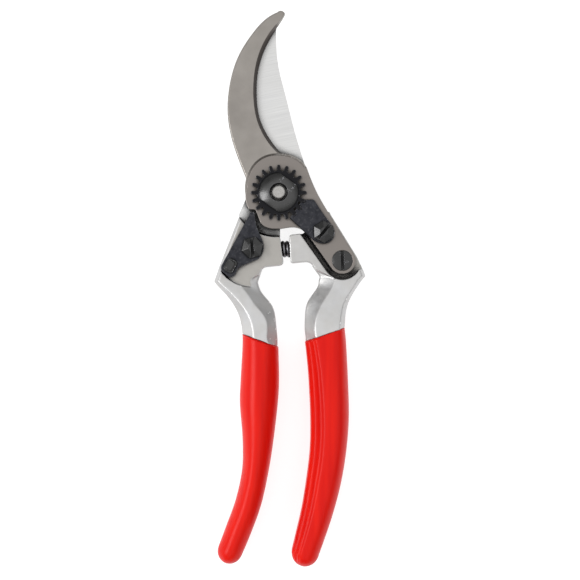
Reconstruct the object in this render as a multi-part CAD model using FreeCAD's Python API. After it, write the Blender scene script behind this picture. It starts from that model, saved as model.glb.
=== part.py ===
import FreeCAD, Part
import math
import os

# Bypass pruning shears, lying flat with the toothed pivot nut up. Lengths are in millimetres, and the pivot's
# axis is the Z axis. The left handle carries the cutting blade, the return spring and the catch. The right
# handle carries the hook, the pivot bolt, the toothed nut and its locking segment.

# ---- driving dimensions ------------------------------------------------------------------------------------
Z_HEAD_BACK = 0.0         # back face of the pivot bolt's head, which the shears rest on
BOLT_HEAD_THICK = 2.8
BOLT_HEAD_ACROSS_FLATS = 14.0
WASHER_THICK = 0.56
Z_HANDLE_BACK = 3.4       # back of both forgings
HANDLE_HEAD_THICK = 3.0
BLADE_THICK = 3.2
BLADE_GAP = 0.05          # oil gap between the two blades
HOOK_THICK = 4.0
HOOK_GROUND = 0.9         # how far the hook is ground below its hub
HOOK_BEVEL = 0.55         # bevel along the hook's back
HOOK_LENGTH = 70.0        # from the pivot to the hook's tip
HUB_CHAMFER = 1.0
RIVETS_AT = [(-8.6, -5.2), (-2.6, -10.2)]
RIVET_R = 1.6
NUT_GAP = 0.04
NUT_FLANGE_THICK = 2.0
NUT_BOSS_THICK = 2.6
NUT_TEETH = 20
NUT_TIP_R = 10.7
NUT_ROOT_R = 8.3
NUT_TOOTH_HALF_WIDTH = 0.66
NUT_BOSS_R = 7.8
NUT_FLATS_AT = 6.2        # distance from the axis to each spanner flat
NUT_FLATS_ANGLE = -35.5   # direction of the flats, in degrees from +X
NUT_DOME_R = 13.0
NUT_MOUTH_R = 4.0
NUT_MOUTH_DEPTH = 0.6
TOOTH_CLEARANCE = 0.12
SEGMENT_THICK = 1.8

SHANK_R = 4.5
SHANK_RUNNING_GAP = 0.05
BUSH_R = 5.6
THREAD_R = 3.5
BOLT_TIP_R = 2.45

Z_CATCH_FLOOR = 12.2      # milled floor under the catch, and front of the left lug
Z_RIGHT_LUG_FRONT = 13.4
CATCH_WASHER_THICK = 0.3
CATCH_THICK = 1.9
CATCH_AXIS = (-10.1, -21.0)
CATCH_SWEEP_R = 15.1      # milled clearance circle for the catch
CATCH_SHOULDER_R = 2.1
STUD_AT = (-18.5, -27.9)
STUD_SHANK_R = 1.2
STUD_TURN = -28.0         # degrees, so that the stud lies along the handle
STUD_HEIGHT = 2.2
CATCH_RUNNING_GAP = 0.05

SEGMENT_SCREW_AT = (17.2, -15.0)
TAIL_SCREW_AT = (24.4, -25.9)
TAIL_R = 5.1
TAIL_GAP = 2.2            # width of the groove round the hook's tail
SCREW_HEAD_R = 4.3        # to a corner of the hexagon
SCREW_HEAD_THICK = 2.3
SCREW_TAPER = 1.2         # height of the head's six slanted facets
SCREW_CROWN_R = 1.6       # to a corner of the small flat where they end
SCREW_SHANK_R = 2.1
SCREW_THREAD_R = 1.75
SCREW_LOW_END = 5.0       # height of the screws' lower ends
SCREW_HOLE_FLOOR = 4.6
TAIL_SCREW_HEAD_R = 4.0
TAIL_SCREW_RISE = 0.75    # height of the tail screw's dome
COUNTERSINK_DEPTH = 2.0
SCREW_SLOT_WIDTH = 1.15

SPRING_AXIS_Y = -21.3
SPRING_AXIS_Z = 7.8
SPRING_R = 3.3            # outer radius
SPRING_WIRE_R = 0.75
SPRING_TURNS = 7.5
SOCKET_R = 3.6
SOCKET_LEFT_END = -5.6
SOCKET_RIGHT_END = 9.4
BUMPER_R = 1.5

GRIP_WALL = 1.7

# ---- levels that follow from them --------------------------------------------------------------------------
Z_BLADE = Z_HANDLE_BACK + HANDLE_HEAD_THICK
Z_BLADE_FRONT = Z_BLADE + BLADE_THICK
Z_HOOK = Z_BLADE_FRONT + BLADE_GAP
Z_HOOK_FRONT = Z_HOOK + HOOK_THICK
Z_HOOK_GROUND = Z_HOOK_FRONT - HOOK_GROUND
Z_NUT = Z_HOOK_FRONT + NUT_GAP
Z_NUT_FLANGE = Z_NUT + NUT_FLANGE_THICK
Z_NUT_TOP = Z_NUT_FLANGE + NUT_BOSS_THICK
Z_SEGMENT_FRONT = Z_NUT + SEGMENT_THICK
Z_CATCH = Z_CATCH_FLOOR + CATCH_WASHER_THICK
Z_CATCH_FRONT = Z_CATCH + CATCH_THICK


# ---- drawing helpers ---------------------------------------------------------------------------------------
def at(point, z=0.0):
    return FreeCAD.Vector(point[0], point[1], z)


def outline(start, *steps, z=0.0):
    """A closed wire at height z. A step is a point for a straight line, or a list of points that a curve runs
    through: two points make an arc and three or more a smooth curve. The last point of a list is its end."""
    here = at(start, z)
    edges = []
    for step in steps:
        if isinstance(step, tuple):
            there = at(step, z)
            edges.append(Part.LineSegment(here, there).toShape())
        elif len(step) == 2:
            there = at(step[1], z)
            edges.append(Part.Arc(here, at(step[0], z), there).toShape())
        else:
            there = at(step[-1], z)
            curve = Part.BSplineCurve()
            curve.interpolate([here] + [at(p, z) for p in step])
            edges.append(curve.toShape())
        here = there
    if here.distanceToPoint(at(start, z)) > 1e-6:
        edges.append(Part.LineSegment(here, at(start, z)).toShape())
    return Part.Wire(edges)


def plate(wire, thick):
    """The wire's area, thickened upwards."""
    return Part.Face(wire).extrude(FreeCAD.Vector(0, 0, thick))


def post(centre, radius, z_low, z_high):
    return Part.makeCylinder(radius, z_high - z_low, at(centre, z_low))


def polygon_prism(centre, corner_r, sides, turned, z_low, z_high):
    """A regular prism with its first corner at the angle turned."""
    angles = [math.radians(turned + 360.0 * k / sides) for k in range(sides)]
    points = [(centre[0] + corner_r * math.cos(a), centre[1] + corner_r * math.sin(a)) for a in angles]
    return plate(outline(points[0], *points[1:], z=z_low), z_high - z_low)


def edges_at(shape, z):
    """The edges that lie in the plane at height z."""
    return [e for e in shape.Edges if abs(e.BoundBox.ZMin - z) < 1e-4 and abs(e.BoundBox.ZMax - z) < 1e-4]


def chamfer_at(shape, z, size, keep=lambda edge: True):
    return shape.makeChamfer(size, [e for e in edges_at(shape, z) if keep(e)])


def slot_cut(centre, angle, half_length, width, z_floor, z_top):
    """A screwdriver slot through a head's centre."""
    corner = FreeCAD.Vector(-half_length, -width / 2, z_floor)
    box = Part.makeBox(2 * half_length, width, z_top - z_floor, corner)
    box.rotate(FreeCAD.Vector(0, 0, 0), FreeCAD.Vector(0, 0, 1), angle)
    box.translate(at(centre))
    return box


def rounded_section(corners, radius):
    """A closed wire through 3-D corners in one plane, with every corner rounded."""
    starts, ends, edges = [], [], []
    count = len(corners)
    for k, corner in enumerate(corners):
        back = corners[k - 1] - corner
        ahead = corners[(k + 1) % count] - corner
        setback = radius / math.tan(back.getAngle(ahead) / 2)
        first = corner + FreeCAD.Vector(back).normalize() * setback
        last = corner + FreeCAD.Vector(ahead).normalize() * setback
        inward = (first + last) * 0.5 - corner
        depth = math.hypot(radius, setback) - radius
        middle = corner + FreeCAD.Vector(inward).normalize() * depth
        starts.append(first)
        ends.append(last)
        edges.append(Part.Arc(first, middle, last).toShape())
    joined = []
    for k in range(count):
        joined.append(edges[k])
        joined.append(Part.LineSegment(ends[k], starts[(k + 1) % count]).toShape())
    return Part.Wire(joined)


class Station:
    """One cross-section of a handle: its edges on the left and right, its back and front, how far the front
    flat stands in from each edge, and the half height of its upright sides as a share of its thickness."""

    def __init__(self, left, right, back, front, left_in, right_in, side=0.2):
        self.left, self.right = at(left), at(right)
        self.back, self.front = back, front
        self.left_in, self.right_in = left_in, right_in
        self.side = side

    def wire(self, radius, inset=0.0):
        across = self.right - self.left
        width = across.Length - 2 * inset
        across.normalize()
        origin = self.left + across * inset
        back, front = self.back + inset, self.front - inset
        middle, land = (back + front) / 2, (front - back) * self.side
        left_in, right_in = self.left_in - inset / 2, width - self.right_in + inset / 2
        profile = [
            (0, middle - land), (0, middle + land), (left_in, front), (right_in, front),
            (width, middle + land), (width, middle - land), (right_in, back), (left_in, back),
        ]
        return rounded_section([origin + across * u + FreeCAD.Vector(0, 0, z) for u, z in profile], radius)


def handle_loft(stations, radius, inset=0.0, flat=False):
    """A solid through the stations, smooth lengthwise, or in flat runs from each one to the next."""
    return Part.makeLoft([s.wire(radius, inset) for s in stations], True, flat)


def arm_loft(stations):
    """An arm of the forging: flat up to the elbow's corner at the second station, and smooth below it."""
    elbow = handle_loft(stations[:2], METAL_ROUND, flat=True)
    return elbow.fuse(handle_loft(stations[1:], METAL_ROUND))


def half_space_below(left, right, reach=200.0):
    """A big box on the lower (-Y) side of the line from left to right."""
    angle = math.degrees(math.atan2(right[1] - left[1], right[0] - left[0]))
    box = Part.makeBox(2 * reach, reach, reach, FreeCAD.Vector(-reach, -reach, -reach / 2))
    box.rotate(FreeCAD.Vector(0, 0, 0), FreeCAD.Vector(0, 0, 1), angle)
    box.translate(at(left))
    return box


# ---- handle stations, from the elbow down ------------------------------------------------------------------
LEFT_ARM = [
    Station((-23.3, -29.0), (-6.6, -29.6), 3.4, 13.0, 1.6, 7.2, 0.28),
    Station((-25.0, -33.9), (-8.2, -34.3), 3.4, 13.5, 1.9, 6.0, 0.24),
    Station((-22.0, -37.3), (-7.3, -37.0), 3.3, 14.1, 2.3, 6.1, 0.25),
    Station((-19.0, -40.7), (-4.9, -40.3), 3.1, 14.8, 2.8, 6.1, 0.25),
    Station((-16.6, -44.4), (-2.6, -43.3), 2.9, 15.4, 3.3, 5.9, 0.24),
    Station((-14.9, -48.5), (-1.4, -47.2), 2.6, 16.0, 3.9, 4.0, 0.23),
    Station((-14.1, -53.0), (-0.9, -52.0), 2.2, 16.6, 4.3, 3.5, 0.22),
    Station((-13.9, -57.5), (-0.5, -57.0), 2.0, 16.9, 4.4, 3.5),
    Station((-13.9, -62.0), (-0.2, -62.0), 1.8, 17.2, 4.4, 3.6),
]
LEFT_GRIP = [
    Station((-14.4, -52.0), (-0.7, -52.0), 1.9, 17.1, 4.2, 3.8),
    Station((-14.2, -60.0), (-0.2, -60.0), 1.2, 17.8, 4.4, 4.0),
    Station((-14.8, -72.0), (0.1, -72.0), 0.5, 18.5, 4.8, 4.4),
    Station((-15.1, -81.0), (-0.4, -81.0), 0.3, 18.7, 5.0, 4.6),
    Station((-14.1, -94.0), (-1.9, -94.0), 0.6, 18.4, 3.8, 3.6),
    Station((-14.2, -106.0), (-3.8, -106.5), 1.1, 17.9, 3.3, 3.2),
    Station((-16.7, -118.5), (-6.5, -119.5), 1.8, 17.2, 3.3, 3.2),
    Station((-20.5, -129.0), (-10.5, -131.0), 2.5, 16.5, 3.3, 3.2),
    Station((-25.2, -140.5), (-15.2, -144.0), 3.2, 15.8, 3.3, 3.2),
]
RIGHT_ARM = [
    Station((12.9, -28.0), (31.8, -27.4), 3.4, 13.4, 9.0, 1.4, 0.26),
    Station((15.9, -32.2), (33.5, -31.9), 3.4, 13.7, 6.6, 1.5, 0.22),
    Station((15.2, -35.2), (30.8, -35.2), 3.4, 14.1, 5.9, 1.6),
    Station((13.3, -38.4), (28.7, -38.4), 3.3, 14.6, 6.0, 1.6),
    Station((11.0, -42.0), (26.9, -41.9), 3.0, 15.2, 6.0, 1.8),
    Station((10.2, -45.5), (25.9, -45.5), 2.7, 15.8, 5.0, 1.8),
    Station((10.0, -49.2), (25.5, -49.2), 2.4, 16.4, 4.1, 1.9),
    Station((10.0, -53.0), (25.2, -52.8), 2.1, 16.8, 4.0, 2.1),
    Station((10.2, -57.0), (25.4, -56.8), 1.9, 17.0, 4.0, 2.2),
]
RIGHT_GRIP = [
    Station((9.6, -48.0), (25.2, -48.0), 1.9, 17.1, 4.4, 2.4),
    Station((10.1, -58.0), (25.7, -58.0), 1.2, 17.8, 4.8, 2.7),
    Station((11.4, -71.0), (26.6, -71.0), 0.6, 18.4, 5.4, 3.2),
    Station((12.1, -86.0), (27.0, -86.0), 0.3, 18.7, 5.6, 3.4),
    Station((11.8, -99.0), (26.2, -99.0), 0.6, 18.4, 5.4, 3.4),
    Station((10.4, -111.5), (24.3, -111.0), 1.1, 17.9, 5.0, 3.4),
    Station((8.0, -124.0), (20.9, -122.5), 1.8, 17.2, 4.6, 3.4),
    Station((5.6, -134.5), (17.4, -132.5), 2.5, 16.5, 4.4, 3.4),
    Station((2.6, -146.5), (12.4, -144.0), 3.2, 15.8, 3.8, 3.2),
]
METAL_ROUND = 0.8
GRIP_ROUND = 2.6
TANG_ROUND = 0.7
LEFT_MOUTH = ((-14.0, -54.1), (-0.3, -59.0))      # the slanted mouth of each grip
RIGHT_MOUTH = ((10.1, -57.0), (25.3, -51.7))


# ---- blades ------------------------------------------------------------------------------------------------
def make_cutting_blade():
    """Flat towards the hook, with its long bevel on the back. Its round tail seats in the left handle."""
    tail = [(-15.6, -8.3), [(-11.2, -12.7), (0.45, -16.1)], (0.45, -12.9)]
    hub_right = [(11.3, -6.2), (12.9, 0.0), (12.6, 3.2)]
    spine = [(9.6, 12.5), (6.0, 24.4), (2.5, 38.2), (-0.5, 51.0), (-1.1, 58.0), (-1.0, 64.6)]
    edge = [(-7.2, 56.6), (-11.3, 46.5), (-12.8, 35.5), (-11.9, 24.0), (-9.4, 14.5), (-12.6, 2.6)]
    bevel = [(-4.4, 50.0), (-6.2, 42.0), (-6.6, 33.5), (-6.4, 24.0), (-7.4, 14.0), (-12.6, 2.6)]
    bevel_tip = (-1.3, 57.6)
    front = outline((-12.6, 2.6), (-12.8, -2.0), *tail, hub_right, spine, edge, z=Z_BLADE_FRONT)
    back_spine = spine[:-2] + [(-0.9, 54.4), bevel_tip]
    back = outline((-12.6, 2.6), (-12.8, -2.0), *tail, hub_right, back_spine, bevel, z=Z_BLADE)
    shape = Part.makeLoft([back, front], True, True)
    for centre in RIVETS_AT:
        shape = shape.cut(post(centre, RIVET_R, Z_BLADE - 1, Z_BLADE_FRONT + 1))
    return shape.cut(post((0, 0), BUSH_R, Z_BLADE - 1, Z_BLADE_FRONT + 1))


def hook_wire(inner, left_in, z):
    """The hook's outline, with its concave edge through the inner points and its back moved in by left_in."""
    back = [(-12.5, 5.4), (-14.5, 10.4), (-17.8, 19.8), (-19.7, 30.5), (-19.0, 41.5), (-15.9, 52.2),
            (-10.3, 61.4), (-4.3, 67.7), (-0.6, 69.7)]
    moved = []
    for x, y in back:
        turn = 0.5 * y / HOOK_LENGTH
        moved.append((x + left_in * (1 - turn), y - left_in * turn))
    nose = [(1.6 - left_in * 0.3, 70.1 - left_in * 0.6), (2.4 - left_in * 0.6, 69.1)]
    return outline(moved[0], moved[1:], nose, (1.2, 67.0), inner, (6.0, 6.0), (-6.0, 2.0), z=z)


def hub_wire(z):
    """The hook's hub and tail, which bolts to the right handle."""
    tail_left = (TAIL_SCREW_AT[0] - 0.82 * TAIL_R, TAIL_SCREW_AT[1] - 0.572 * TAIL_R)
    tail_right = (TAIL_SCREW_AT[0] + 0.848 * TAIL_R, TAIL_SCREW_AT[1] + 0.53 * TAIL_R)
    tail_end = (TAIL_SCREW_AT[0] + 0.20 * TAIL_R, TAIL_SCREW_AT[1] - 0.98 * TAIL_R)
    return outline(
        (10.6, 10.2),
        [(7.0, 13.6), (1.4, 15.3), (-4.4, 14.9), (-9.4, 11.8), (-12.4, 6.4), (-12.8, -0.8)],
        [(-12.5, -3.8), (-11.5, -6.2)],
        (-9.5, -6.35),
        [(-8.95, -6.6), (-8.7, -7.1)],
        (-6.9, -11.6),
        [(-4.9, -13.1), (-2.0, -13.7), (1.8, -13.5), (5.0, -13.05), (7.6, -13.4), (9.7, -14.5),
         (11.5, -16.4)],
        tail_left,
        [tail_end, tail_right],
        (20.6, -10.2),
        [(17.9, -5.6), (15.2, -0.9), (13.0, 3.8), (10.6, 10.2)],
        z=z,
    )


def make_hook_blade():
    """The hooked counter-blade: a thick hub and tail, and a ground hook with a slanted inner wall."""
    inner_front = [(-0.9, 65.0), (-5.8, 58.0), (-9.0, 48.4), (-9.75, 38.5), (-8.3, 28.0), (-4.4, 20.0),
                   (0.6, 14.6)]
    inner_back = [(-0.7, 64.2), (-4.8, 57.2), (-7.9, 48.0), (-8.6, 38.5), (-7.2, 28.6), (-3.3, 21.0),
                  (1.8, 14.6)]
    depth = HOOK_BEVEL / (Z_HOOK_GROUND - Z_HOOK)
    land = [(a * (1 - depth) + c * depth, b * (1 - depth) + d * depth)
            for (a, b), (c, d) in zip(inner_front, inner_back)]
    z_edge = Z_HOOK_GROUND - HOOK_BEVEL
    lower = Part.makeLoft([hook_wire(inner_back, 0, Z_HOOK), hook_wire(land, 0, z_edge)], True, True)
    upper_wires = [hook_wire(land, 0, z_edge), hook_wire(inner_front, HOOK_BEVEL, Z_HOOK_GROUND)]
    upper = Part.makeLoft(upper_wires, True, True)
    hub = plate(hub_wire(Z_HOOK), HOOK_THICK)
    hub = chamfer_at(hub, Z_HOOK_FRONT, HUB_CHAMFER, lambda e: e.BoundBox.YMax > 14)
    shape = lower.fuse(upper).fuse(hub).removeSplitter()
    shape = shape.cut(post((0, 0), SHANK_R + 0.02, Z_HOOK - 1, Z_HOOK_FRONT + 1))
    shape = shape.cut(post(SEGMENT_SCREW_AT, SCREW_SHANK_R, Z_HOOK - 1, Z_HOOK_FRONT + 1))
    seat = at(TAIL_SCREW_AT, Z_HOOK_FRONT - COUNTERSINK_DEPTH)
    countersink = Part.makeCone(SCREW_SHANK_R, TAIL_SCREW_HEAD_R + 0.05, COUNTERSINK_DEPTH, seat)
    shape = shape.cut(post(TAIL_SCREW_AT, SCREW_SHANK_R, Z_HOOK - 1, Z_HOOK_FRONT + 1))
    return shape.cut(countersink)


def make_blade_rivets():
    """Two flush rivets that hold the cutting blade to the left handle."""
    return Part.makeCompound([post(centre, RIVET_R, Z_HANDLE_BACK, Z_BLADE_FRONT) for centre in RIVETS_AT])


# ---- pivot -------------------------------------------------------------------------------------------------
def toothed_disc(z_low, z_high, grown=0.0):
    """A disc with narrow round-ended teeth; grown widens every tooth by a clearance."""
    disc = post((0, 0), NUT_ROOT_R + grown, z_low, z_high)
    half = NUT_TOOTH_HALF_WIDTH + grown
    tip = NUT_TIP_R - NUT_TOOTH_HALF_WIDTH
    tooth = plate(
        outline((NUT_ROOT_R - 1.5, -half * 1.35), (NUT_ROOT_R + 0.4, -half * 1.1), (tip, -half),
                [(tip + half, 0.0), (tip, half)], (NUT_ROOT_R + 0.4, half * 1.1),
                (NUT_ROOT_R - 1.5, half * 1.35), z=z_low),
        z_high - z_low)
    teeth = []
    for k in range(NUT_TEETH):
        one = tooth.copy()
        one.rotate(FreeCAD.Vector(0, 0, 0), FreeCAD.Vector(0, 0, 1), 90.0 + 360.0 * k / NUT_TEETH)
        teeth.append(one)
    return disc.multiFuse(teeth).removeSplitter()


def make_toothed_nut():
    """A toothed flange with a domed boss that has two spanner flats."""
    boss = post((0, 0), NUT_BOSS_R, Z_NUT_FLANGE - 0.2, Z_NUT_TOP)
    boss = boss.common(Part.makeSphere(NUT_DOME_R, at((0, 0), Z_NUT_TOP - NUT_DOME_R)))
    corner = FreeCAD.Vector(-2 * NUT_BOSS_R, -NUT_FLATS_AT, 0)
    flats = Part.makeBox(4 * NUT_BOSS_R, 2 * NUT_FLATS_AT, 2 * Z_NUT_TOP, corner)
    flats.rotate(FreeCAD.Vector(0, 0, 0), FreeCAD.Vector(0, 0, 1), NUT_FLATS_ANGLE)
    shape = toothed_disc(Z_NUT, Z_NUT_FLANGE).fuse(boss.common(flats)).removeSplitter()
    mouth_floor = at((0, 0), Z_NUT_TOP - NUT_MOUTH_DEPTH)
    shape = shape.cut(Part.makeCone(THREAD_R, NUT_MOUTH_R, NUT_MOUTH_DEPTH, mouth_floor))
    return shape.cut(post((0, 0), THREAD_R, Z_NUT - 1, Z_NUT_TOP + 1))


def make_pivot_bolt():
    """Hexagonal head at the back, a bearing shank, a threaded end and a turned tip that shows in the nut."""
    corner_r = BOLT_HEAD_ACROSS_FLATS / math.sqrt(3)
    z_neck = Z_HEAD_BACK + BOLT_HEAD_THICK
    head = polygon_prism((0, 0), corner_r, 6, 0.0, Z_HEAD_BACK, z_neck)
    crown = Part.makeCone(corner_r - 0.75, corner_r + 4.0, 4.75, at((0, 0), Z_HEAD_BACK))
    head = head.common(crown)
    shank = post((0, 0), SHANK_R, z_neck, Z_HOOK_FRONT - 0.3)
    z_tip = Z_NUT_TOP - 2.4
    thread = post((0, 0), THREAD_R - 0.02, Z_HOOK_FRONT - 0.3, z_tip)
    tip = post((0, 0), BOLT_TIP_R, z_tip, Z_NUT_TOP - 0.15)
    tip = chamfer_at(tip, Z_NUT_TOP - 0.15, 0.35)
    return head.fuse(shank).fuse(thread).fuse(tip).removeSplitter()


def make_bolt_washer():
    z = Z_HEAD_BACK + BOLT_HEAD_THICK
    ring = post((0, 0), 7.8, z, z + WASHER_THICK)
    return ring.cut(post((0, 0), SHANK_R + 0.03, z - 1, z + 2))


def make_pivot_bush():
    sleeve = post((0, 0), BUSH_R - 0.01, Z_HANDLE_BACK, Z_BLADE_FRONT)
    return sleeve.cut(post((0, 0), SHANK_R + SHANK_RUNNING_GAP, Z_HANDLE_BACK - 1, Z_BLADE_FRONT + 1))


def make_lock_segment():
    """A toothed plate, screwed to the hook, that stops the nut from turning."""
    x, y = SEGMENT_SCREW_AT
    wire = outline(
        (6.0, -7.2), (4.2, -9.8), (11.8, -16.9),
        [(14.2, -18.7), (17.6, -19.5), (20.6, -17.8), (21.3, -14.6), (20.0, -12.0)],
        (17.4, -8.6), (13.4, -2.6), (9.2, -2.6), z=Z_NUT)
    shape = plate(wire, SEGMENT_THICK)
    shape = shape.cut(toothed_disc(Z_NUT - 1, Z_NUT_FLANGE + 1, TOOTH_CLEARANCE))
    shape = chamfer_at(shape, Z_SEGMENT_FRONT, 0.3, lambda e: e.Length > 3.0)
    return shape.cut(post((x, y), SCREW_SHANK_R, Z_NUT - 1, Z_SEGMENT_FRONT + 1))


# ---- screws ------------------------------------------------------------------------------------------------
def slotted_hex_screw(centre, turned, slot_angle, z_seat, shoulder_r, z_shoulder):
    """A screw with a slotted hexagonal head that tapers in six facets, a shoulder and a shank."""
    z_top = z_seat + SCREW_HEAD_THICK
    angles = [math.radians(turned + 60.0 * k) for k in range(6)]
    rims = []
    for radius, z in ((SCREW_HEAD_R, z_seat), (SCREW_HEAD_R, z_top - SCREW_TAPER), (SCREW_CROWN_R, z_top)):
        points = [(centre[0] + radius * math.cos(a), centre[1] + radius * math.sin(a)) for a in angles]
        rims.append(outline(points[0], *points[1:], z=z))
    head = Part.makeLoft(rims, True, True)
    shape = head.fuse(post(centre, shoulder_r, z_shoulder, z_seat))
    shape = shape.fuse(post(centre, SCREW_THREAD_R, SCREW_LOW_END, z_shoulder)).removeSplitter()
    return shape.cut(slot_cut(centre, slot_angle, 6.0, SCREW_SLOT_WIDTH, z_top - 1.6, z_top + 1))


def make_segment_screw():
    shoulder_r = SCREW_SHANK_R - 0.02
    return slotted_hex_screw(SEGMENT_SCREW_AT, 32.0, 50.5, Z_SEGMENT_FRONT, shoulder_r, Z_BLADE_FRONT)


def make_catch_screw():
    shoulder_r = CATCH_SHOULDER_R - CATCH_RUNNING_GAP
    return slotted_hex_screw(CATCH_AXIS, 16.0, 94.5, Z_CATCH_FRONT + 0.05, shoulder_r, Z_CATCH_FLOOR)


def make_tail_screw():
    """A raised countersunk screw in the end of the hook's tail."""
    z_rim, head_r, rise = Z_HOOK_FRONT, TAIL_SCREW_HEAD_R, TAIL_SCREW_RISE
    cone_height = COUNTERSINK_DEPTH - 0.03
    cone = Part.makeCone(SCREW_SHANK_R - 0.05, head_r, cone_height, at(TAIL_SCREW_AT, z_rim - cone_height))
    dome_r = (head_r ** 2 + rise ** 2) / (2 * rise)
    dome = Part.makeSphere(dome_r, at(TAIL_SCREW_AT, z_rim + rise - dome_r))
    dome = dome.common(post(TAIL_SCREW_AT, head_r, z_rim, z_rim + 2))
    shank = post(TAIL_SCREW_AT, SCREW_SHANK_R - 0.05, Z_BLADE_FRONT, z_rim - cone_height + 0.05)
    thread = post(TAIL_SCREW_AT, SCREW_THREAD_R, SCREW_LOW_END, Z_BLADE_FRONT)
    shape = cone.fuse(dome).fuse(shank).fuse(thread).removeSplitter()
    return shape.cut(slot_cut(TAIL_SCREW_AT, 93.0, 6.0, SCREW_SLOT_WIDTH, z_rim - 0.45, z_rim + 2))


# ---- catch -------------------------------------------------------------------------------------------------
def make_catch_lever():
    """The thumb catch: a nose that seats in the hook's notch, an eye, and a lobe under the thumb stud."""
    wire = outline(
        (-11.3, -8.5),
        [(-10.3, -7.3), (-9.25, -8.4)],
        (-8.9, -11.2),
        [(-8.5, -12.9), (-7.6, -15.2), (-6.2, -18.3), (-5.8, -20.9), (-6.5, -23.6), (-8.4, -25.6)],
        (-14.6, -28.2),
        [(-15.9, -29.4), (-16.7, -31.3), (-18.3, -32.3), (-20.4, -31.1), (-22.1, -29.3), (-22.0, -27.8)],
        z=Z_CATCH)
    shape = plate(wire, CATCH_THICK)
    shape = shape.cut(post(CATCH_AXIS, CATCH_SHOULDER_R, Z_CATCH - 1, Z_CATCH_FRONT + 1))
    return shape.cut(post(STUD_AT, STUD_SHANK_R, Z_CATCH - 1, Z_CATCH_FRONT + 1))


def rounded_pad(width, length, height, corner, rim):
    """A block on z = 0 with round corners and a softened top rim."""
    block = Part.makeBox(width, length, height, FreeCAD.Vector(-width / 2, -length / 2, 0))
    block = block.makeFillet(corner, [e for e in block.Edges if abs(e.BoundBox.ZLength - height) < 1e-4])
    return block.makeFillet(rim, edges_at(block, height))


def make_catch_thumb_stud():
    """A pad in two steps that the thumb pushes."""
    stud = rounded_pad(4.0, 5.2, 1.2, 1.1, 0.3).fuse(rounded_pad(2.7, 3.9, STUD_HEIGHT, 0.8, 0.45))
    stud.rotate(FreeCAD.Vector(0, 0, 0), FreeCAD.Vector(0, 0, 1), STUD_TURN)
    stud.translate(at(STUD_AT, Z_CATCH_FRONT))
    return stud.fuse(post(STUD_AT, STUD_SHANK_R, Z_CATCH, Z_CATCH_FRONT)).removeSplitter()


def make_catch_washer():
    ring = post(CATCH_AXIS, 3.9, Z_CATCH_FLOOR, Z_CATCH - 0.02)
    return ring.cut(post(CATCH_AXIS, CATCH_SHOULDER_R, Z_CATCH_FLOOR - 1, Z_CATCH + 1))


# ---- spring ------------------------------------------------------------------------------------------------
def along_x(shape):
    """Turns a shape built along +Z so that it lies along +X on the spring's axis."""
    shape.rotate(FreeCAD.Vector(0, 0, 0), FreeCAD.Vector(0, 1, 0), 90)
    shape.translate(FreeCAD.Vector(0, SPRING_AXIS_Y, SPRING_AXIS_Z))
    return shape


def rod_x(radius, x_low, x_high):
    rod = Part.makeCylinder(radius, x_high - x_low, FreeCAD.Vector(0, 0, x_low))
    return along_x(rod)


def make_return_spring():
    x_low = SOCKET_LEFT_END + SPRING_WIRE_R + 0.05
    x_high = SOCKET_RIGHT_END - SPRING_WIRE_R - 0.05
    coil_r = SPRING_R - SPRING_WIRE_R
    helix = Part.makeHelix((x_high - x_low) / SPRING_TURNS, x_high - x_low, coil_r)
    start = helix.Edges[0].valueAt(helix.Edges[0].FirstParameter)
    direction = helix.Edges[0].tangentAt(helix.Edges[0].FirstParameter)
    section = Part.Wire(Part.Circle(start, direction, SPRING_WIRE_R).toShape())
    coil = Part.Wire(helix.Edges).makePipeShell([section], True, True)
    coil.translate(FreeCAD.Vector(0, 0, x_low))
    return along_x(coil)


def make_stop_bumper():
    """A rubber rod down the spring's middle, which the handles close against."""
    rod = rod_x(BUMPER_R, SOCKET_LEFT_END, SOCKET_RIGHT_END - 0.3)
    return rod.makeFillet(0.5, [e for e in rod.Edges if e.BoundBox.XMin > SOCKET_RIGHT_END - 1.0])


# ---- forgings and grips ------------------------------------------------------------------------------------
def make_left_handle():
    head = plate(
        outline((0.45, -12.9),
                [(11.4, -6.0), (12.9, 0.0), (9.2, 9.0), (0.0, 12.9), (-9.2, 9.0), (-12.5, 1.0)],
                (-12.9, -2.6), (-15.6, -8.6), (-13.0, -19.0), (0.45, -19.0), z=Z_HANDLE_BACK),
        HANDLE_HEAD_THICK)
    body = plate(
        outline((-12.9, -2.6), (-23.5, -29.4), (-22.4, -31.6), (-12.0, -33.8), (-7.6, -31.2), (-7.0, -30.2),
                [(-6.2, -28.9), (-4.8, -28.3)], (0.2, -27.8),
                [(1.4, -27.2), (1.7, -25.9)], (0.55, -17.3), [(0.2, -16.7), (-0.5, -16.5)], (-5.0, -10.0),
                z=Z_HANDLE_BACK),
        Z_CATCH_FLOOR - Z_HANDLE_BACK)
    recess = plate(
        outline((-30.0, -8.45), (-15.75, -8.45), [(-11.55, -13.2), (0.6, -16.6)], (0.6, 20.0), (-30.0, 20.0),
                z=Z_BLADE),
        20.0)
    body = body.cut(recess)
    body = chamfer_at(body, Z_CATCH_FLOOR, 1.2, lambda e: e.BoundBox.XMax < -15 and e.Length > 15)
    arm = arm_loft(LEFT_ARM).cut(half_space_below(*LEFT_MOUTH))
    arm = arm.cut(post(CATCH_AXIS, CATCH_SWEEP_R, Z_CATCH_FLOOR, 30.0))
    tang = handle_loft(LEFT_GRIP[:-1], TANG_ROUND, GRIP_WALL)
    shape = head.fuse(body).fuse(arm).fuse(tang).removeSplitter()
    shape = shape.cut(post((0, 0), BUSH_R, 0, 20))
    for centre in RIVETS_AT:
        shape = shape.cut(post(centre, RIVET_R, Z_HANDLE_BACK - 1, Z_BLADE + 1))
    shape = shape.cut(post(CATCH_AXIS, SCREW_THREAD_R, SCREW_HOLE_FLOOR, 20))
    return shape.cut(rod_x(SOCKET_R, SOCKET_LEFT_END, 3.0))


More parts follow.
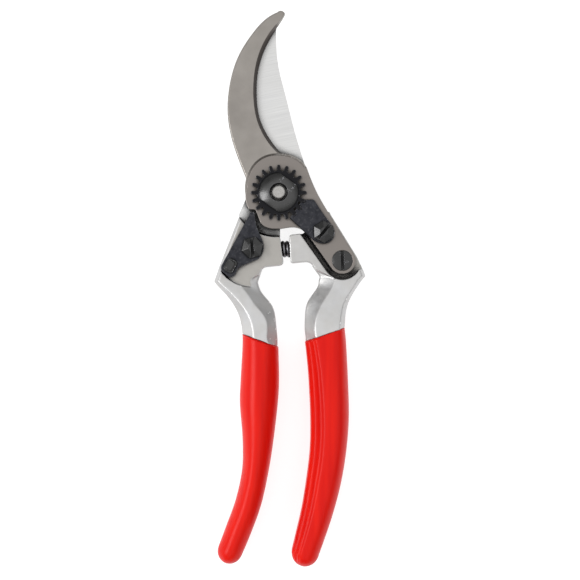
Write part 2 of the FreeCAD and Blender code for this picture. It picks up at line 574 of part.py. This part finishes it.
def make_right_handle():
    body = plate(
        outline((3.95, -17.4), [(4.2, -16.3), (5.2, -15.9)], (9.2, -15.4), (13.4, -12.0), (18.7, -6.9),
                [(19.3, -6.8), (19.9, -7.6)], (30.3, -24.4), (31.5, -27.1), (30.2, -30.2), (21.0, -32.6),
                (14.2, -29.4), (13.0, -27.6), [(11.9, -26.7), (10.4, -26.4)],
                (5.8, -26.8), [(4.8, -26.6), (4.4, -25.7)], z=Z_HANDLE_BACK),
        Z_RIGHT_LUG_FRONT - Z_HANDLE_BACK)
    arm = arm_loft(RIGHT_ARM).cut(half_space_below(*RIGHT_MOUTH))
    tang = handle_loft(RIGHT_GRIP[:-1], TANG_ROUND, GRIP_WALL)
    shape = body.fuse(arm).fuse(tang).removeSplitter()
    wall_r = TAIL_R + TAIL_GAP
    x, y = TAIL_SCREW_AT
    corner = (x - 0.82 * wall_r, y - 0.572 * wall_r)
    up_wall = (corner[0] - 0.572 * 21.0, corner[1] + 0.82 * 21.0)
    pocket = plate(
        outline(corner, [(x + 0.1 * wall_r, y - 0.995 * wall_r), (x + 0.86 * wall_r, y - 0.51 * wall_r)],
                (40.0, -25.5), (40.0, 5.0), up_wall, z=Z_BLADE_FRONT),
        20.0)
    shape = shape.cut(pocket)
    for centre in (SEGMENT_SCREW_AT, TAIL_SCREW_AT):
        shape = shape.cut(post(centre, SCREW_THREAD_R, SCREW_HOLE_FLOOR, 20))
    return shape.cut(rod_x(SOCKET_R, 2.0, SOCKET_RIGHT_END))


def make_grip(stations, mouth, end_outline, handle):
    """A PVC sleeve over the tang, with a slanted mouth and a rounded end."""
    sleeve = handle_loft(stations, GRIP_ROUND).common(half_space_below(*mouth))
    sleeve = sleeve.common(plate(end_outline, 30.0))
    return sleeve.cut(handle)


def make_left_grip(handle):
    end = outline((-40.0, -45.0), (-34.0, -100.0), (-24.6, -135.0), [(-23.2, -140.4), (-18.9, -144.0)],
                  [(-17.3, -143.0), (-15.6, -140.6)], (-9.0, -126.0), (10.0, -100.0), (10.0, -45.0), z=-2.0)
    return make_grip(LEFT_GRIP, LEFT_MOUTH, end, handle)


def make_right_grip(handle):
    end = outline((0.0, -45.0), (0.0, -120.0), (4.4, -139.4), [(4.6, -143.0), (7.6, -144.7)],
                  (9.6, -144.7), [(12.4, -143.3), (14.4, -139.6)], (40.0, -100.0), (40.0, -45.0), z=-2.0)
    return make_grip(RIGHT_GRIP, RIGHT_MOUTH, end, handle)


def main():
    left_handle, right_handle = make_left_handle(), make_right_handle()
    nodes = {
        "left_handle": left_handle,
        "right_handle": right_handle,
        "left_grip": make_left_grip(left_handle),
        "right_grip": make_right_grip(right_handle),
        "cutting_blade": make_cutting_blade(),
        "hook_blade": make_hook_blade(),
        "pivot_bolt": make_pivot_bolt(),
        "pivot_bush": make_pivot_bush(),
        "bolt_washer": make_bolt_washer(),
        "toothed_nut": make_toothed_nut(),
        "lock_segment": make_lock_segment(),
        "segment_screw": make_segment_screw(),
        "tail_screw": make_tail_screw(),
        "catch_lever": make_catch_lever(),
        "catch_thumb_stud": make_catch_thumb_stud(),
        "catch_screw": make_catch_screw(),
        "catch_washer": make_catch_washer(),
        "return_spring": make_return_spring(),
        "stop_bumper": make_stop_bumper(),
        "blade_rivets": make_blade_rivets(),
    }
    os.makedirs("parts", exist_ok=True)
    for name, shape in nodes.items():
        solids = len(shape.Solids)
        print(f"{name:18s} solids {solids}  valid {shape.isValid()}  volume {shape.Volume:9.1f} mm3")
        shape.exportStep(f"parts/{name}.step")


main()
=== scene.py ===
import math

import bmesh
import bpy
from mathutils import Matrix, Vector


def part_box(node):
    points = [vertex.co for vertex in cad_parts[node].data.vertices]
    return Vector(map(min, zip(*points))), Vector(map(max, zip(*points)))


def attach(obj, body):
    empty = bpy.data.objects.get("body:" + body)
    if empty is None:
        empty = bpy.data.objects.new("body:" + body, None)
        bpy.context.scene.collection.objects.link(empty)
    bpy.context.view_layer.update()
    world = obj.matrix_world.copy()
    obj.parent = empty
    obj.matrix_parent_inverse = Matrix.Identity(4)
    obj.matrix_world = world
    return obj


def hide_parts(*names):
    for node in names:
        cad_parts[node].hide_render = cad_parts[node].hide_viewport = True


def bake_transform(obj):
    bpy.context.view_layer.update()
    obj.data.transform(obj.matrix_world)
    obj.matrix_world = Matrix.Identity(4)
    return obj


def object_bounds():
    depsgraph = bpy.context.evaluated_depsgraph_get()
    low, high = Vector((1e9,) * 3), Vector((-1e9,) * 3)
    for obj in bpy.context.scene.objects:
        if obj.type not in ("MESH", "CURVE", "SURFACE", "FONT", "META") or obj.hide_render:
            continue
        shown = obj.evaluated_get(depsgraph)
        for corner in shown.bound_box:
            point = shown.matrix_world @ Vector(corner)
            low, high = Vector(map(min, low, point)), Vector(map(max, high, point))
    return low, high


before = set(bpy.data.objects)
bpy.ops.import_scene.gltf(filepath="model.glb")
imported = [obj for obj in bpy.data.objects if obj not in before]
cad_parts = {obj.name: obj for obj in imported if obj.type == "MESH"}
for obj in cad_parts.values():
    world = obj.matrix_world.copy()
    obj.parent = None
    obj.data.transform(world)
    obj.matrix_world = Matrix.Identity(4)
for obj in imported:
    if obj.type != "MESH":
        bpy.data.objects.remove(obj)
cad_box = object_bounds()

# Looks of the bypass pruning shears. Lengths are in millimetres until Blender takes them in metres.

MM = 0.001

VIEW_CENTRE = (4.3, -37.2)      # where the camera looks
VIEW_WIDTH = 223.3              # width of the frame at the height of the hub
VIEW_DISTANCE = 430.0           # from the camera to the hub
VIEW_PLANE = 12.0               # height of the hub above the floor
SENSOR = 36.0                   # width of the camera's sensor
FLOOR_REACH = 3000.0            # half the floor's side
FLOOR_GAP = 0.02                # keeps the floor off the faces that rest on it

NUT_FLANGE = 2.1                # height at which the nut's polished boss begins, above its back
HUB_STEP = (0.65, 0.35)         # depths below the hub's front between which its darker tone begins
LOW_FLATS = (14.0, 12.2)           # heights between which the handles' up-facing flats are coloured darker, the lower the darker
JAW_LOW = (14.0, 17.0)          # along the shears, where the painted shade on the hook's ground wall begins above the hub
JAW_HIGH = (66.0, 64.5)         # and where it ends at the tip
RUBBED_STEP = 0.4               # height over which blacking turns into rubbed steel

LIP = 0.45                      # radius of the roll at a grip's mouth
MOUTH_DEPTH = 2.2               # how far the mouth is drawn in to the metal, in lips
SIDE_LAND = 0.2                 # half the height of a grip's upright sides, as a share of its thickness
RIB_HEIGHT = 0.22
RIB_HALF_WIDTH = 0.09           # as a share of the facet that the rib runs along
ROUNDING = 3                    # times that a grip's corners are cut
RINGS_PER_GAP = 6               # rings made for each gap between the given ones
ARC_STEP = 12                   # degrees between the rings of a lip or an end

SPRING_WIRE = 0.75              # the wire's radius
SPRING_TURNS = 8.5
STEPS_PER_TURN = 40
WIRE_SIDES = 12

COLOUR_A, COLOUR_B, COLOUR_OUT = 6, 7, 2    # the Mix node's sockets for colours


# ---- nodes ----------------------------------------------------------------------------------------
def feed(tree, socket, value):
    """Gives a socket a value or another node's output."""
    if isinstance(value, bpy.types.NodeSocket):
        tree.links.new(value, socket)
    else:
        socket.default_value = value


def add(tree, kind, settings=None, **inputs):
    """Adds a shader node. Inputs are named with _ for a space."""
    made = tree.nodes.new("ShaderNode" + kind)
    for key, value in (settings or {}).items():
        setattr(made, key, value)
    for key, value in inputs.items():
        feed(tree, made.inputs[key.replace("_", " ")], value)
    return made


def start_material(name, **values):
    """A new material, its tree and its shader, with values set on the shader's own sockets."""
    material = bpy.data.materials.new(name)
    material.use_nodes = True
    shader = material.node_tree.nodes["Principled BSDF"]
    for key, value in values.items():
        shader.inputs[key.replace("_", " ")].default_value = value
    return material, material.node_tree, shader


def finish_material(tree, shader, colour, roughness, normal=None):
    """Links a colour, a roughness and perhaps a bump to the shader."""
    tree.links.new(colour, shader.inputs["Base Color"])
    tree.links.new(roughness, shader.inputs["Roughness"])
    if normal is not None:
        tree.links.new(normal, shader.inputs["Normal"])


def component(tree, kind, axis):
    """One axis of the object's own coordinates, kind Object, or of its surface's direction, kind Normal."""
    return add(tree, "SeparateXYZ", Vector=add(tree, "TexCoord").outputs[kind]).outputs[axis]


def coordinates(tree, stretch=(1, 1, 1), turn=0.0):
    """The object's own coordinates, turned about Z by a number of degrees and then stretched."""
    where = add(tree, "TexCoord").outputs["Object"]
    turned = add(tree, "Mapping", Vector=where, Rotation=(0, 0, math.radians(turn)))
    return add(tree, "Mapping", Vector=turned.outputs["Vector"], Scale=stretch).outputs["Vector"]


def noise(tree, grain, where=None, detail=2.0, rough=0.5):
    """A noise from 0 to 1 whose features are about grain millimetres across."""
    vector = where or coordinates(tree)
    made = add(tree, "TexNoise", Vector=vector, Scale=1 / (grain * MM), Detail=detail, Roughness=rough)
    return made.outputs["Fac"]


def spread(tree, value, low, high, from_low=0.3, from_high=0.7):
    """Maps a noise's middle range to low..high."""
    made = add(tree, "MapRange", Value=value, From_Min=from_low, From_Max=from_high,
               To_Min=low, To_Max=high)
    return made.outputs["Result"]


def ramp(tree, value, low, high):
    """0 where the value is low and 1 where it is high. Low may be above high."""
    return add(tree, "MapRange", Value=value, From_Min=low, From_Max=high).outputs["Result"]


def ramp_along(tree, axis, low, high):
    """A ramp along one of the object's axes, between two places in millimetres."""
    return ramp(tree, component(tree, "Object", axis), low * MM, high * MM)


def product(tree, first, second):
    """Two masks multiplied."""
    made = add(tree, "Math", {"operation": "MULTIPLY"})
    tree.links.new(first, made.inputs[0])
    tree.links.new(second, made.inputs[1])
    return made.outputs["Value"]


def blend_colour(tree, factor, first, second):
    """The first colour where the factor is 0 and the second where it is 1."""
    made = add(tree, "Mix", {"data_type": "RGBA"}, Factor=factor)
    for index, colour in ((COLOUR_A, first), (COLOUR_B, second)):
        plain = isinstance(colour, tuple)
        feed(tree, made.inputs[index], (*colour, 1.0) if plain else colour)
    return made.outputs[COLOUR_OUT]


def bump(tree, height, depth, strength, below=None):
    """A bump depth millimetres deep, laid over the bump below it."""
    made = add(tree, "Bump", Height=height, Distance=depth * MM, Strength=strength)
    if below is not None:
        tree.links.new(below, made.inputs["Normal"])
    return made.outputs["Normal"]


def edge_wear_and_highlight(tree, low, high):
    """0 on flats and 1 on outer edges, where the colour is lightened for wear and a painted highlight."""
    return ramp(tree, add(tree, "NewGeometry").outputs["Pointiness"], low, high)


def painted_gap_shade(tree, colour, reach, dark, shut=0.25, clear=0.75):
    """The colour, with painted shade in gaps up to about reach millimetres wide.

    The surface is painted dark where less than the share shut of it is open, and keeps its colour above the
    share clear.
    """
    openness = add(tree, "AmbientOcclusion", {"samples": 8}, Distance=reach * MM).outputs["AO"]
    return blend_colour(tree, ramp(tree, openness, shut, clear), dark, colour)


# ---- materials ------------------------------------------------------------------------------------
def low_flats(tree):
    """1 on the flat floor under the catch, and less on the higher flat of the right handle's head. These
    flats are coloured darker.
    """
    flat = ramp(tree, component(tree, "Normal", "Z"), 0.93, 0.98)
    return product(tree, flat, ramp_along(tree, "Z", *LOW_FLATS))


def forged_aluminium():
    """Tumbled aluminium, its heads milled flat and its low flats coloured darker, its edges lightened for
    wear and a painted highlight, and painted shade in its corners.
    """
    material, tree, shader = start_material("forged_aluminium", Metallic=1.0)
    clouds = noise(tree, 14.0, detail=3.0)
    colour = blend_colour(tree, spread(tree, clouds, 0, 1), (0.565, 0.565, 0.57), (0.645, 0.645, 0.645))
    stains = noise(tree, 5.0, detail=3.0)
    colour = blend_colour(tree, spread(tree, stains, 0, 0.6), colour, (0.54, 0.53, 0.51))
    # up-facing flats coloured darker, the lower the darker
    colour = blend_colour(tree, low_flats(tree), colour, (0.42, 0.405, 0.38))
    # edges nearly white: wear and a painted highlight
    colour = blend_colour(tree, edge_wear_and_highlight(tree, 0.525, 0.60), colour, (0.90, 0.90, 0.90))
    # painted shade in corners and gaps
    colour = painted_gap_shade(tree, colour, 4.0, (0.008, 0.008, 0.009), 0.42, 0.62)
    tumbled = noise(tree, 2.2, detail=4.0)
    normal = bump(tree, tumbled, 0.05, 0.35)
    normal = bump(tree, noise(tree, 0.35), 0.02, 0.5, normal)
    finish_material(tree, shader, colour, spread(tree, tumbled, 0.44, 0.56), normal)
    return material


def painted_wall_shade(tree):
    """1 on the hook's concave inner wall, which faces the blade's side of the jaw above the hub. There,
    painted shade darkens the steel.
    """
    sideways = ramp(tree, component(tree, "Normal", "X"), 0.45, 0.7)
    jaw = product(tree, ramp_along(tree, "Y", *JAW_LOW), ramp_along(tree, "Y", *JAW_HIGH))
    return product(tree, sideways, jaw)


def bead_blasted_steel():
    """The hook's warm grey steel: its hub and tail a little darker, painted shade on its inner wall, its
    edges lightened for wear and a painted highlight, and painted shade in its gaps.
    """
    material, tree, shader = start_material("bead_blasted_steel", Metallic=1.0)
    clouds = noise(tree, 9.0, detail=4.0)
    colour = blend_colour(tree, spread(tree, clouds, 0, 1), (0.28, 0.26, 0.24), (0.345, 0.322, 0.298))
    hub_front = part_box("hook_blade")[1].z / MM
    raised = ramp_along(tree, "Z", *(hub_front - depth for depth in HUB_STEP))
    colour = blend_colour(tree, raised, colour, (0.242, 0.220, 0.204))
    # edges lightened for wear and a painted highlight
    colour = blend_colour(tree, edge_wear_and_highlight(tree, 0.53, 0.62), colour, (0.44, 0.42, 0.395))
    # painted shade on the inner wall, which faces away from the lamps
    colour = blend_colour(tree, painted_wall_shade(tree), colour, (0.085, 0.072, 0.066))
    # painted shade in gaps
    colour = painted_gap_shade(tree, colour, 1.6, (0.02, 0.018, 0.016))
    grain = noise(tree, 0.22, detail=3.0)
    finish_material(tree, shader, colour, spread(tree, grain, 0.36, 0.48), bump(tree, grain, 0.02, 0.6))
    return material


def ground_steel():
    """Bright steel with fine grinding lines across the blade, and painted shade in its gaps and along the
    walls that stand over it.
    """
    material, tree, shader = start_material("ground_steel", Metallic=1.0)
    lines = noise(tree, 1.0, coordinates(tree, (0.05, 3.6, 0.4), -12.0), detail=4.0, rough=0.7)
    clouds = noise(tree, 12.0)
    colour = blend_colour(tree, spread(tree, lines, 0, 1), (0.58, 0.58, 0.58), (0.74, 0.74, 0.735))
    colour = blend_colour(tree, spread(tree, clouds, 0, 0.35), colour, (0.66, 0.65, 0.63))
    # painted shade in gaps, such as the shadow line under the hub
    colour = painted_gap_shade(tree, colour, 4.5, (0.02, 0.02, 0.02), 0.55, 0.80)
    finish_material(tree, shader, colour, spread(tree, lines, 0.34, 0.44), bump(tree, lines, 0.004, 0.5))
    return material


def black_oxide(name="black_oxide", worn_from=None, worn_tone=0.08):
    """Blackened steel. Above the height worn_from the blacking is rubbed thin and shines. Its edges are
    lightened for wear and a painted highlight, and its gaps hold painted shade.
    """
    material, tree, shader = start_material(name, Metallic=0.9)
    clouds = noise(tree, 2.5, detail=4.0)
    scuffs = noise(tree, 0.9, detail=3.0)
    colour = blend_colour(tree, spread(tree, clouds, 0, 1), (0.022, 0.023, 0.028), (0.046, 0.047, 0.055))
    colour = blend_colour(tree, spread(tree, scuffs, 0, 0.6, 0.55, 0.75), colour, (0.10, 0.10, 0.105))
    if worn_from is not None:
        rubbed = ramp_along(tree, "Z", worn_from, worn_from + RUBBED_STEP)
        colour = blend_colour(tree, rubbed, (0.014, 0.014, 0.016), (worn_tone, worn_tone, worn_tone))
    # edges lightened for wear and a painted highlight
    colour = blend_colour(tree, edge_wear_and_highlight(tree, 0.525, 0.58), colour, (0.34, 0.34, 0.36))
    # painted shade in gaps and around bases
    colour = painted_gap_shade(tree, colour, 1.6, (0.003, 0.003, 0.003), 0.50, 0.80)
    normal = bump(tree, noise(tree, 0.18, detail=3.0), 0.015, 0.4)
    finish_material(tree, shader, colour, spread(tree, clouds, 0.22, 0.34), normal)
    return material


def zinc_steel():
    """Dull plated steel, as on the pivot bolt, with painted shade in its recesses."""
    material, tree, shader = start_material("zinc_steel", Metallic=1.0)
    turning = noise(tree, 0.5, detail=3.0)
    colour = blend_colour(tree, spread(tree, turning, 0, 1), (0.36, 0.35, 0.335), (0.46, 0.45, 0.435))
    # painted shade in recesses
    colour = painted_gap_shade(tree, colour, 1.5, (0.01, 0.01, 0.01), 0.5, 0.75)
    finish_material(tree, shader, colour, spread(tree, turning, 0.25, 0.36), bump(tree, turning, 0.01, 0.4))
    return material


def bronze():
    """Porous sintered bronze."""
    material, tree, shader = start_material("bronze", Metallic=1.0)
    pores = noise(tree, 0.3, detail=3.0)
    colour = blend_colour(tree, spread(tree, pores, 0, 1), (0.36, 0.22, 0.09), (0.52, 0.35, 0.16))
    finish_material(tree, shader, colour, spread(tree, pores, 0.35, 0.5), bump(tree, pores, 0.02, 0.5))
    return material


def red_grip():
    """Dipped PVC: glossy, with a slight orange peel and faint runs along the grip."""
    material, tree, shader = start_material(
        "red_grip", Coat_Weight=0.09, Coat_Roughness=0.32, Specular_IOR_Level=0.09)
    runs = noise(tree, 1.0, coordinates(tree, (0.42, 0.02, 0.3)), detail=1.0)
    dust = noise(tree, 3.0, detail=4.0)
    colour = blend_colour(tree, spread(tree, runs, 0, 1), (0.68, 0.006, 0.003), (0.78, 0.011, 0.004))
    normal = bump(tree, noise(tree, 2.6, detail=1.0), 0.05, 0.3)
    finish_material(tree, shader, colour, spread(tree, dust, 0.30, 0.40), normal)
    return material


def black_rubber():
    """Matt black rubber."""
    material, tree, shader = start_material("black_rubber")
    grain = noise(tree, 0.4, detail=3.0)
    colour = blend_colour(tree, grain, (0.015, 0.015, 0.015), (0.035, 0.035, 0.035))
    finish_material(tree, shader, colour, spread(tree, grain, 0.5, 0.7), bump(tree, grain, 0.02, 0.5))
    return material


def floor_acrylic():
    """Translucent white acrylic, lit from below."""
    material, tree, shader = start_material(
        "floor_acrylic", Emission_Color=(1.0, 1.0, 1.0, 1.0), Emission_Strength=0.78)
    grain = noise(tree, 0.8, detail=3.0)
    colour = blend_colour(tree, grain, (0.38, 0.38, 0.38), (0.42, 0.42, 0.42))
    finish_material(tree, shader, colour, spread(tree, grain, 0.75, 0.85))
    return material


# ---- pieces ---------------------------------------------------------------------------------------
def dress(node, material):
    """Gives a CAD node a material in every slot."""
    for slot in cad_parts[node].material_slots:
        slot.material = material


def put_in_scene(name, data):
    """A new object of the scene that holds a mesh, a light or a camera."""
    made = bpy.data.objects.new(name, data)
    bpy.context.scene.collection.objects.link(made)
    return made


def new_piece(name, body, material, mesh, node):
    """A mesh that rides on a body in place of a CAD node."""
    piece = put_in_scene(name, mesh)
    mesh.materials.clear()
    mesh.materials.append(material)
    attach(piece, body)
    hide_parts(node)
    return piece


def softened(node, body, material, voxel, passes):
    """A finely meshed copy of a CAD node with its edges worn round."""
    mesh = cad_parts[node].data.copy()
    shape = bmesh.new()
    shape.from_mesh(mesh)
    bmesh.ops.remove_doubles(shape, verts=shape.verts, dist=1e-7)
    shape.to_mesh(mesh)
    shape.free()
    piece = new_piece(node + "_worn", body, material, mesh, node)
    remesh = piece.modifiers.new("remesh", "REMESH")
    remesh.mode = "VOXEL"
    remesh.voxel_size = voxel * MM
    remesh.use_smooth_shade = True
    relax = piece.modifiers.new("wear", "SMOOTH")
    relax.factor = 0.5
    relax.iterations = passes


class Ring:
    """A grip's cross-section.

    It has its left and right edges seen from the front, its back and front, and how far the front
    facet stands in from each edge.
    """

    def __init__(self, left, right, back, front, left_in, right_in):
        self.values = [*left, *right, back, front, left_in, right_in]

    def points(self, ribs, inset=0.0, advance=0.0, shrink=1.0):
        """The ring's outline, set in from its faces, moved along the grip and shrunk about its middle."""
        x0, y0, x1, y1, back, front, left_in, right_in = self.values
        across = Vector((x1 - x0, y1 - y0, 0))
        width = across.length
        across.normalize()
        onward = Vector((across.y, -across.x, 0))
        middle, land = (back + front) / 2, (front - back) * SIDE_LAND
        low, high = back + inset, front - inset
        left, right = inset, width - inset
        facet_left, facet_right = left + left_in, right - right_in
        shoulder, brow = (left, middle + land), (facet_left, high)
        profile = [(left, middle - land), shoulder, *ribbed(shoulder, brow, ribs), brow,
                   (facet_right, high), (right, middle + land), (right, middle - land),
                   (facet_right, low), (facet_left, low)]
        centre = Vector((x0, y0, middle)) + across * (width / 2) + onward * advance
        return [centre + (across * (u - width / 2) + Vector((0, 0, z - middle))) * shrink
                for u, z in corner_cut(profile, ROUNDING)]


def ribbed(start, end, ribs):
    """The points of small ribs on the line from start to end, at the given shares of its length."""
    along = Vector(end) - Vector(start)
    out = Vector((-along.y, along.x)).normalized()
    made = []
    for share in ribs:
        for offset, height in ((-RIB_HALF_WIDTH, 0), (0, RIB_HEIGHT), (RIB_HALF_WIDTH, 0)):
            made.append(tuple(Vector(start) + along * (share + offset) + out * height))
    return made


def corner_cut(loop, times):
    """Rounds a closed polygon by cutting its corners a number of times."""
    for _ in range(times):
        cut = []
        for (u, z), (v, w) in zip(loop, loop[1:] + loop[:1]):
            cut.append((0.75 * u + 0.25 * v, 0.75 * z + 0.25 * w))
            cut.append((0.25 * u + 0.75 * v, 0.25 * z + 0.75 * w))
        loop = cut
    return loop


def cardinal(before, here, there, after, t):
    """A cardinal spline's value between here and there."""
    leave, arrive = (there - before) / 2, (after - here) / 2
    span = there - here
    return here + t * (leave + t * (3 * span - 2 * leave - arrive + t * (leave + arrive - 2 * span)))


def between(rings, steps):
    """Smoothly spaced rings, steps of them to each gap between the given ones."""
    rows = [ring.values for ring in rings]
    rows = [rows[0], *rows, rows[-1]]
    made = []
    for four in zip(rows, rows[1:], rows[2:], rows[3:]):
        for step in range(steps):
            made.append([cardinal(*column, step / steps) for column in zip(*four)])
    made.append(rows[-1])
    return [Ring(row[0:2], row[2:4], *row[4:]) for row in made]


def skin(loops, name):
    """A closed mesh through loops of equal length, capped at both ends."""
    shape = bmesh.new()
    rows = [[shape.verts.new(point * MM) for point in loop] for loop in loops]
    for first, second in zip(rows, rows[1:]):
        for k in range(len(first)):
            following = (k + 1) % len(first)
            shape.faces.new((first[k], first[following], second[following], second[k]))
    shape.faces.new(rows[0][::-1])
    shape.faces.new(rows[-1])
    bmesh.ops.recalc_face_normals(shape, faces=shape.faces)
    for face in shape.faces:
        face.smooth = True
    mesh = bpy.data.meshes.new(name)
    shape.to_mesh(mesh)
    shape.free()
    return mesh


# Each grip from mouth to end: left edge, right edge, back, front, and the front facet's two insets.
LEFT_RINGS = [
    Ring((-14.1, -54.1), (-0.2, -59.0), 1.4, 17.6, 4.2, 3.8),
    Ring((-14.1, -59.0), (-0.1, -62.0), 1.1, 17.9, 4.4, 4.0),
    Ring((-14.8, -72.0), (0.1, -72.0), 0.5, 18.5, 4.8, 4.8),
    Ring((-15.1, -81.0), (-0.4, -81.0), 0.3, 18.7, 4.8, 4.8),
    Ring((-14.1, -94.0), (-1.9, -94.0), 0.6, 18.4, 3.8, 4.2),
    Ring((-14.2, -106.0), (-3.8, -106.5), 1.1, 17.9, 3.2, 3.6),
    Ring((-16.6, -117.8), (-6.8, -120.2), 1.8, 17.2, 3.2, 3.4),
    Ring((-20.3, -128.2), (-10.9, -131.6), 2.5, 16.5, 3.2, 3.4),
    Ring((-23.3, -136.2), (-14.4, -139.9), 3.0, 16.0, 3.2, 3.2),
]
RIGHT_RINGS = [
    Ring((10.0, -57.0), (25.4, -51.6), 1.4, 17.6, 4.6, 2.5),
    Ring((10.5, -61.0), (26.0, -57.5), 1.1, 17.9, 4.9, 2.7),
    Ring((11.4, -71.0), (26.7, -71.0), 0.5, 18.5, 5.4, 3.1),
    Ring((12.1, -86.0), (27.1, -86.0), 0.3, 18.7, 5.6, 3.3),
    Ring((11.9, -98.6), (26.1, -99.4), 0.6, 18.4, 5.4, 3.2),
    Ring((10.5, -110.5), (23.9, -112.5), 1.1, 17.9, 5.0, 3.2),
    Ring((8.7, -121.5), (20.7, -124.5), 1.8, 17.2, 4.6, 3.2),
    Ring((6.4, -131.5), (17.5, -134.0), 2.5, 16.5, 4.2, 3.2),
    Ring((5.0, -137.3), (15.6, -139.3), 3.0, 16.0, 3.8, 3.2),
]


def grip(name, node, body, rings, ribs, end, material):
    """A dipped sleeve: a rolled lip at its mouth, a smooth run and an end domed by end millimetres."""
    run = between(rings, RINGS_PER_GAP)
    angles = [math.radians(a) for a in range(0, 90, ARC_STEP)]
    throat = run[0].points(ribs, inset=LIP * MOUTH_DEPTH)
    lip = [run[0].points(ribs, inset=LIP * (1 - math.sin(a)), advance=LIP * (1 - math.cos(a)))
           for a in angles]
    sides = [ring.points(ribs) for ring in run[1:]]
    dome = [run[-1].points(ribs, advance=end * math.sin(a), shrink=math.cos(a)) for a in angles[1:]]
    new_piece(name, body, material, skin([throat, *lip, *sides, *dome], name), node)


def both_grips(material):
    """The left sleeve is smooth, and the right one has two ribs along its left slope."""
    grip("left_sleeve", "left_grip", "left_half", LEFT_RINGS, (), 5.0, material)
    grip("right_sleeve", "right_grip", "right_half", RIGHT_RINGS, (0.3, 0.68), 5.8, material)


def coil_spring(material):
    """The return spring, from one socket's floor to the other's."""
    near, far = (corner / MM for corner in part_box("return_spring"))
    middle = (near + far) / 2
    radius = (far.y - near.y) / 2 - SPRING_WIRE
    first, length = near.x + SPRING_WIRE, far.x - near.x - 2 * SPRING_WIRE
    steps = int(SPRING_TURNS * STEPS_PER_TURN)
    around = [2 * math.pi * side / WIRE_SIDES for side in range(WIRE_SIDES)]
    loops = []
    for step in range(steps + 1):
        share = step / steps
        angle = 2 * math.pi * SPRING_TURNS * share
        out = Vector((0, math.cos(angle), math.sin(angle)))
        centre = Vector((first + length * share, middle.y, middle.z)) + out * radius
        loops.append([centre + SPRING_WIRE * (out * math.cos(a) + Vector((1, 0, 0)) * math.sin(a))
                      for a in around])
    piece = put_in_scene("spring_coil", skin(loops, "spring_coil"))
    piece.data.materials.append(material)
    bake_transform(piece)
    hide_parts("return_spring")


def worn_pieces(black):
    """Fine meshes with worn edges for the handles, the hook and the black pieces."""
    aluminium = forged_aluminium()
    for side in ("left", "right"):
        softened(side + "_handle", side + "_half", aluminium, voxel=0.24, passes=7)
    softened("hook_blade", "right_half", bead_blasted_steel(), voxel=0.16, passes=4)
    boss = black_oxide("worn_black_oxide", worn_from=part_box("toothed_nut")[0].z / MM + NUT_FLANGE)
    softened("toothed_nut", "right_half", boss, voxel=0.1, passes=3)
    softened("lock_segment", "right_half", black, voxel=0.1, passes=3)
    softened("catch_lever", "catch", black, voxel=0.1, passes=3)
    rubbed = black_oxide("rubbed_black_oxide", worn_from=0.0, worn_tone=0.06)
    for node, body in (("segment_screw", "right_half"), ("tail_screw", "right_half"),
                       ("catch_screw", "left_half"), ("catch_thumb_stud", "catch")):
        softened(node, body, rubbed, voxel=0.08, passes=3)


def plain_pieces(black):
    """Materials for the pieces that keep their CAD mesh."""
    ground, zinc = ground_steel(), zinc_steel()
    dress("cutting_blade", ground)
    dress("blade_rivets", ground)
    dress("pivot_bolt", zinc)
    dress("bolt_washer", zinc)
    dress("catch_washer", black)
    dress("pivot_bush", bronze())
    dress("stop_bumper", black_rubber())


# ---- studio ---------------------------------------------------------------------------------------
def studio_floor():
    """A large square floor just under the shears."""
    reach = FLOOR_REACH * MM
    height = cad_box[0].z - FLOOR_GAP * MM
    shape = bmesh.new()
    corners = [(-reach, -reach), (reach, -reach), (reach, reach), (-reach, reach)]
    shape.faces.new([shape.verts.new((x, y, height)) for x, y in corners])
    mesh = bpy.data.meshes.new("studio_floor")
    shape.to_mesh(mesh)
    shape.free()
    mesh.materials.append(floor_acrylic())
    put_in_scene("studio_floor", mesh)


def softbox(name, where, watts, side):
    """A square light aimed at the middle of the view."""
    data = bpy.data.lights.new(name, "AREA")
    data.shape = "SQUARE"
    data.size = side * MM
    data.energy = watts
    light = put_in_scene(name, data)
    light.location = Vector(where) * MM
    aim = Vector((*VIEW_CENTRE, VIEW_PLANE)) * MM - light.location
    light.rotation_mode = "QUATERNION"
    light.rotation_quaternion = aim.to_track_quat("-Z", "Y")


def sky(strength):
    """A dim even white all round."""
    world = bpy.data.worlds.new("studio")
    world.use_nodes = True
    background = world.node_tree.nodes["Background"]
    background.inputs["Color"].default_value = (1.0, 1.0, 1.0, 1.0)
    background.inputs["Strength"].default_value = strength
    bpy.context.scene.world = world


def camera():
    """Looks straight down at the shears."""
    data = bpy.data.cameras.new("overhead")
    data.sensor_width = SENSOR
    data.lens = SENSOR * VIEW_DISTANCE / VIEW_WIDTH
    eye = put_in_scene("overhead", data)
    eye.location = Vector((*VIEW_CENTRE, VIEW_PLANE + VIEW_DISTANCE)) * MM
    bpy.context.scene.camera = eye


def main():
    black = black_oxide()
    worn_pieces(black)
    both_grips(red_grip())
    coil_spring(black)
    plain_pieces(black)
    studio_floor()
    sky(0.26)
    softbox("overhead", (80.0, 0.0, 900.0), watts=13.0, side=2250.0)
    softbox("key", (-750.0, -100.0, 550.0), watts=4.0, side=400.0)
    camera()
    bpy.context.scene.view_settings.view_transform = "Standard"


main()
